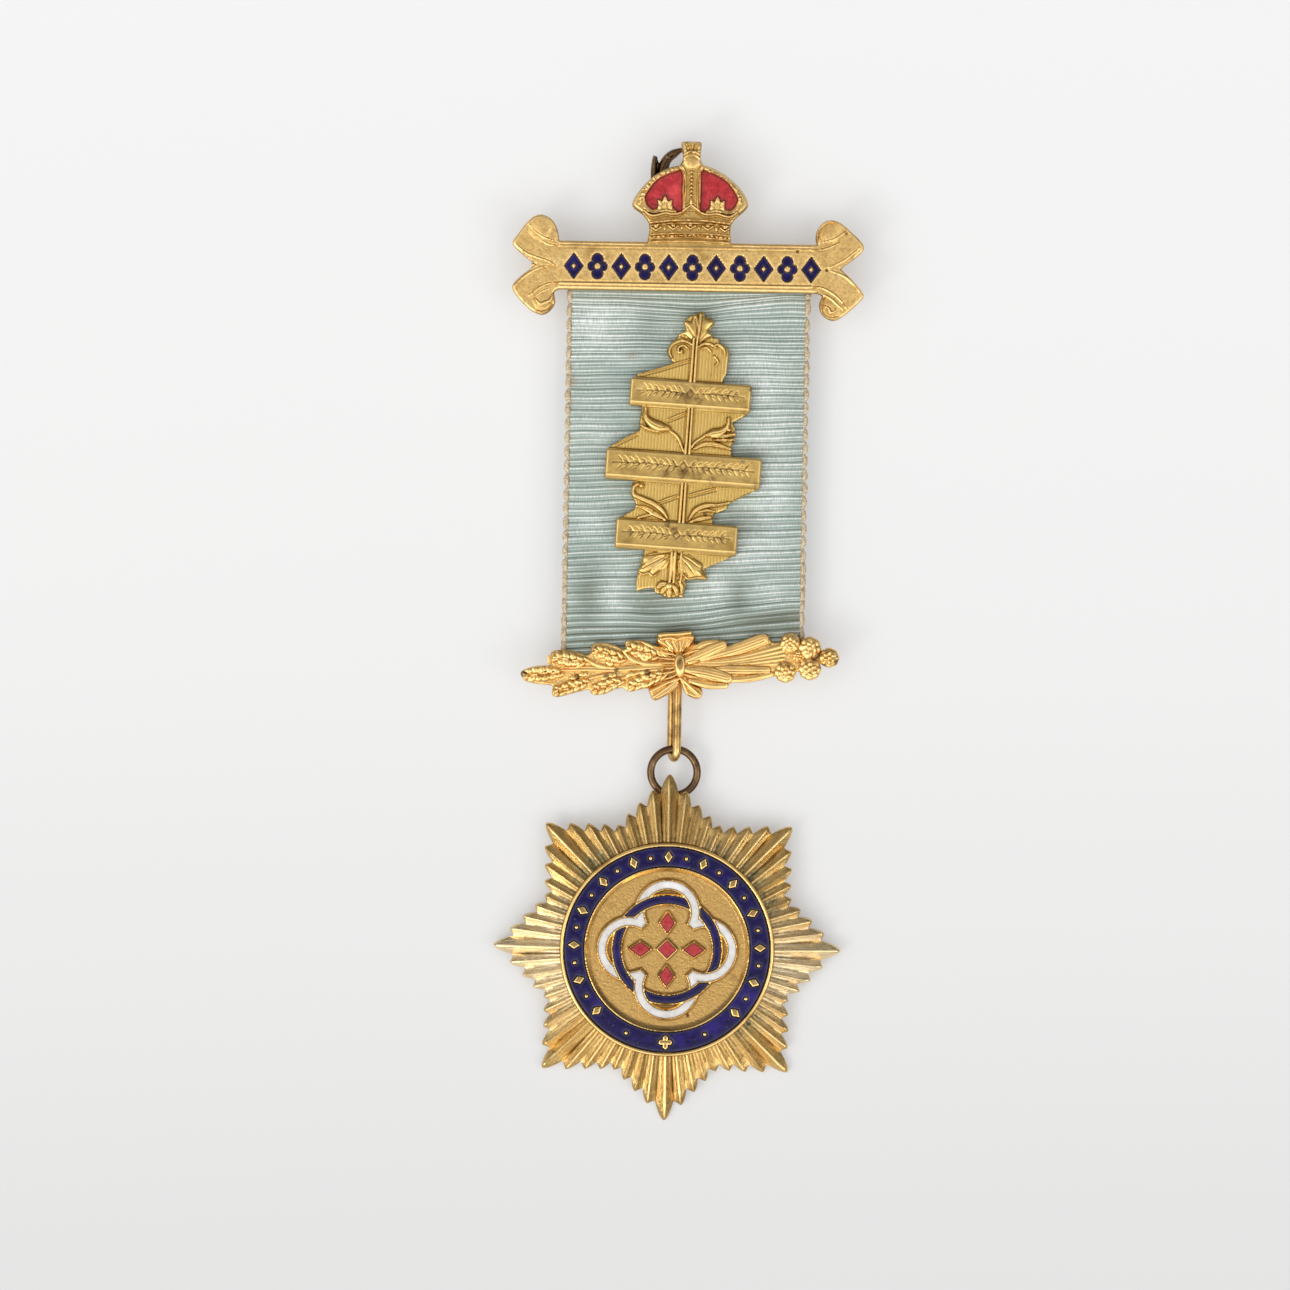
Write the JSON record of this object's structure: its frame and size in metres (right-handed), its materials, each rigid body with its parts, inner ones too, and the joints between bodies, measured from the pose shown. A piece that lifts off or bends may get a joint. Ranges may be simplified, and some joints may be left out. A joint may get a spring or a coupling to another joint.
{
  "type": "fraternal medal",
  "caption": "Fraternal medal lying on its back: crowned scroll brooch bar, ribbed ribbon with a banded device, wheat spray bar, and an enamelled rayed star on a bail and ring.",
  "frame": {"origin": "centre of the outline on the surface that the medal lies on", "axes": "+Y along the medal towards the crown, +Z out of its front, +X to the right seen from the front"},
  "size_m": [0.047, 0.1283, 0.0064],
  "materials": {
    "gold_satin": "satin gilt, slightly worn",
    "gold_star": "dull satin gilt, darkened in the hollows",
    "gilt_bright": "brighter gilt",
    "gilt_wire": "polished gilt wire, browned at its lower end",
    "brown_metal": "brown tarnish",
    "enamel_navy": "glossy",
    "enamel_red": "glossy",
    "enamel_white": "glossy",
    "ribbon_silk": "ribbed silk with a soft sheen, cream edges"
  },
  "bodies": {
    "root": {"crown_bar": "gold_satin", "brooch_pin": "gold_satin", "back_hook": "brown_metal", "ribbon": "ribbon_silk", "scroll_clasp": "gold_satin", "spray_bar": "gilt_bright", "bail": "gilt_wire", "jump_ring": "brown_metal", "star": "gold_star", "roundel": "gold_satin", "ring_enamel": "enamel_navy", "crown_enamel_left": "enamel_red", "crown_enamel_right": "enamel_red", "bar_enamel_1": "enamel_navy", "bar_enamel_2": "enamel_navy", "bar_enamel_3": "enamel_navy", "bar_enamel_4": "enamel_navy", "bar_enamel_5": "enamel_navy", "bar_enamel_6": "enamel_navy", "bar_enamel_7": "enamel_navy", "bar_enamel_8": "enamel_navy", "bar_enamel_9": "enamel_navy", "bar_enamel_10": "enamel_navy", "bar_enamel_11": "enamel_navy", "knot_white_1": "enamel_white", "knot_white_2": "enamel_white", "knot_white_3": "enamel_white", "knot_white_4": "enamel_white", "knot_blue_1": "enamel_navy", "knot_blue_2": "enamel_navy", "knot_blue_3": "enamel_navy", "knot_blue_4": "enamel_navy", "knot_red_1": "enamel_red", "knot_red_2": "enamel_red", "knot_red_3": "enamel_red", "knot_red_4": "enamel_red", "knot_red_5": "enamel_red"}
  },
  "joints": []
}
